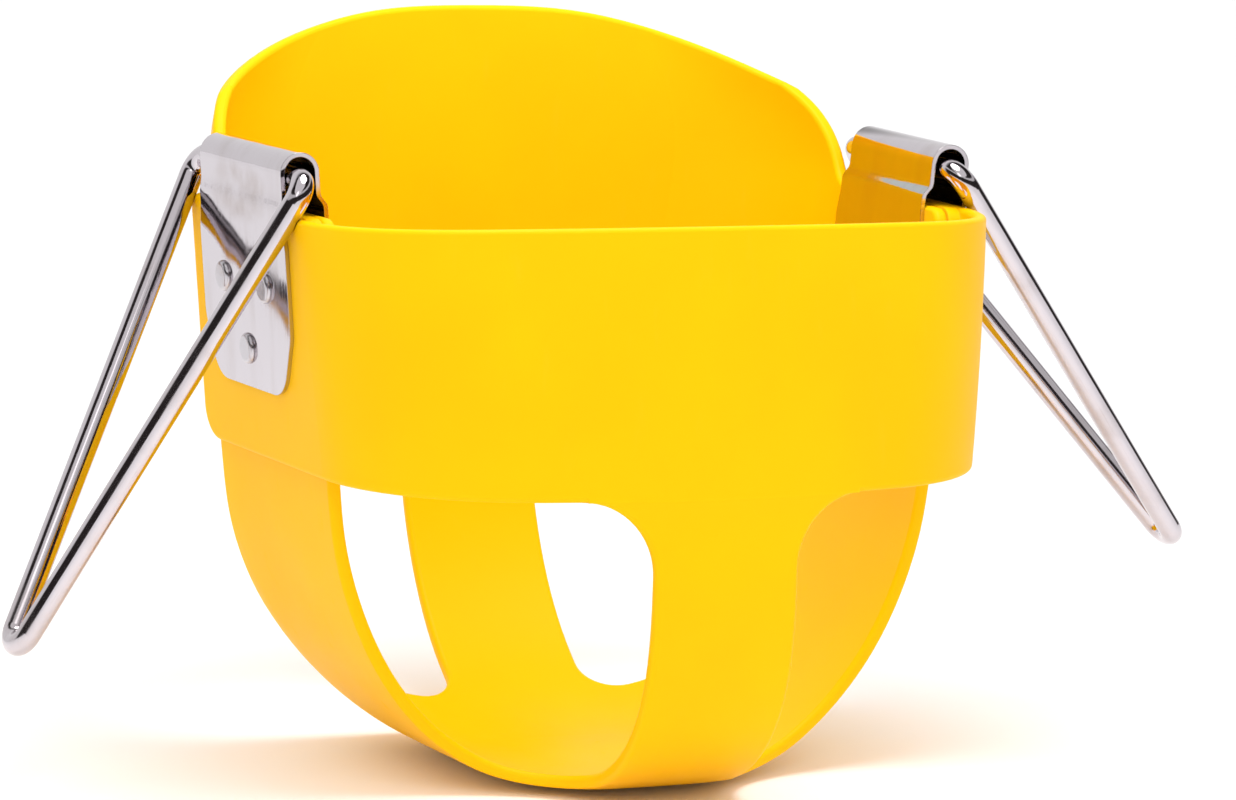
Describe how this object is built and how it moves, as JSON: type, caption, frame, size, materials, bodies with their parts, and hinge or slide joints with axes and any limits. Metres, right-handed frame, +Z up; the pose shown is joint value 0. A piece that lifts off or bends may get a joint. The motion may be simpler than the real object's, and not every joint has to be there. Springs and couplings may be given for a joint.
{
  "type": "toddler bucket swing seat",
  "caption": "High-back bucket swing seat for a toddler, with leg openings and wire triangles that swing in riveted metal brackets.",
  "frame": {"origin": "on the flat underside of the pan, midway between the two brackets", "axes": "+X to the seat's left-hand side as its user sits, which is the viewer's right from in front; +Y from the front strap to the back panel; +Z up"},
  "size_m": [0.5409, 0.292, 0.3095],
  "materials": {
    "seat_plastic": "moulded yellow plastic, satin, paler on worn high spots",
    "bracket_metal": "bright plated sheet steel with fine scuffs",
    "wire_metal": "bright plated round wire",
    "rivet_metal": "plated steel, dull at the rim"
  },
  "bodies": {
    "seat": {"seat_shell": "seat_plastic", "left_hanger_bracket": "bracket_metal", "right_hanger_bracket": "bracket_metal", "left_upper_front_rivet": "rivet_metal", "left_upper_rear_rivet": "rivet_metal", "left_lower_rivet": "rivet_metal", "right_upper_front_rivet": "rivet_metal", "right_upper_rear_rivet": "rivet_metal", "right_lower_rivet": "rivet_metal"},
    "left_triangle": {"left_triangle": "wire_metal"},
    "right_triangle": {"right_triangle": "wire_metal"}
  },
  "joints": [
    {"name": "left_triangle_swing", "type": "hinge", "parent": "seat", "child": "left_triangle", "pos_m": [-0.1493, 0.00334, 0.25289], "axis": [-0.0523, 0.9986, 0], "range_deg": [0, 187.6]},
    {"name": "right_triangle_swing", "type": "hinge", "parent": "seat", "child": "right_triangle", "pos_m": [0.14749, 0.00503, 0.25306], "axis": [-0.0523, -0.9986, 0], "range_deg": [0, 156.3]}
  ]
}
